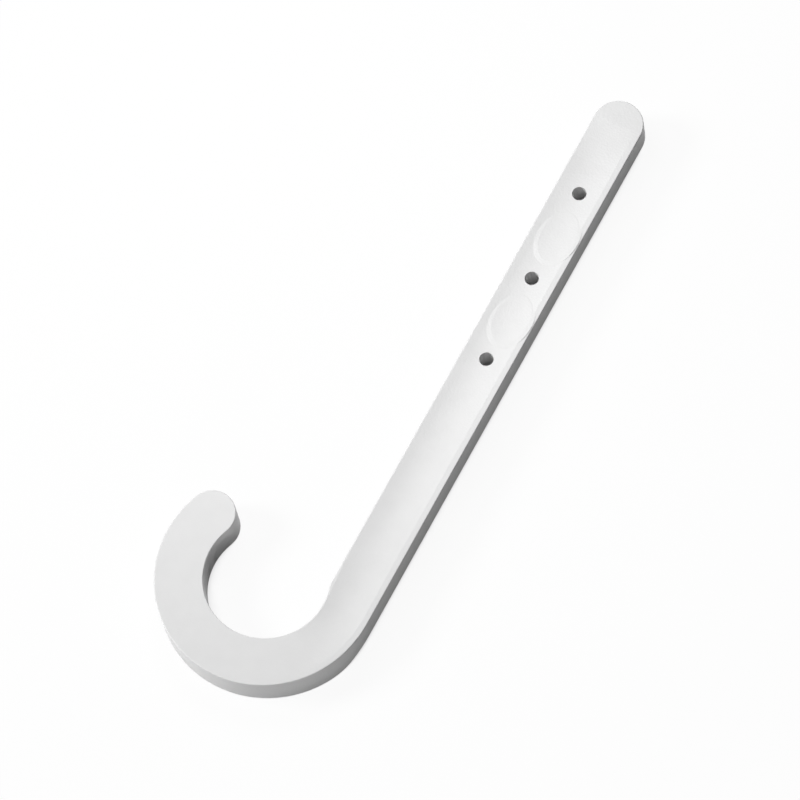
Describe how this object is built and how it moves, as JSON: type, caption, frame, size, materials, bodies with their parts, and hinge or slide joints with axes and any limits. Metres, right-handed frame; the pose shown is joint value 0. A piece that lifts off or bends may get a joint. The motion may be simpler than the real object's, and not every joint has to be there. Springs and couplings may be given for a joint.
{
  "type": "pipe j-hook",
  "caption": "J-shaped pipe hanger: a flat shank with nail holes for a joist's side and a round snap-in hook that carries a drain pipe.",
  "frame": {"origin": "the seat's axis, where it crosses the plane of the shank's flat back, which lies against the joist", "axes": "+Z along the seat's axis, out of the front; +Y up the shank from the seat to its round end; +X from the seat towards the shank"},
  "size_m": [0.0862, 0.2761, 0.0167],
  "materials": {
    "white_plastic": "satin"
  },
  "bodies": {
    "root": {"pipe_j_hook": "white_plastic"}
  },
  "joints": []
}
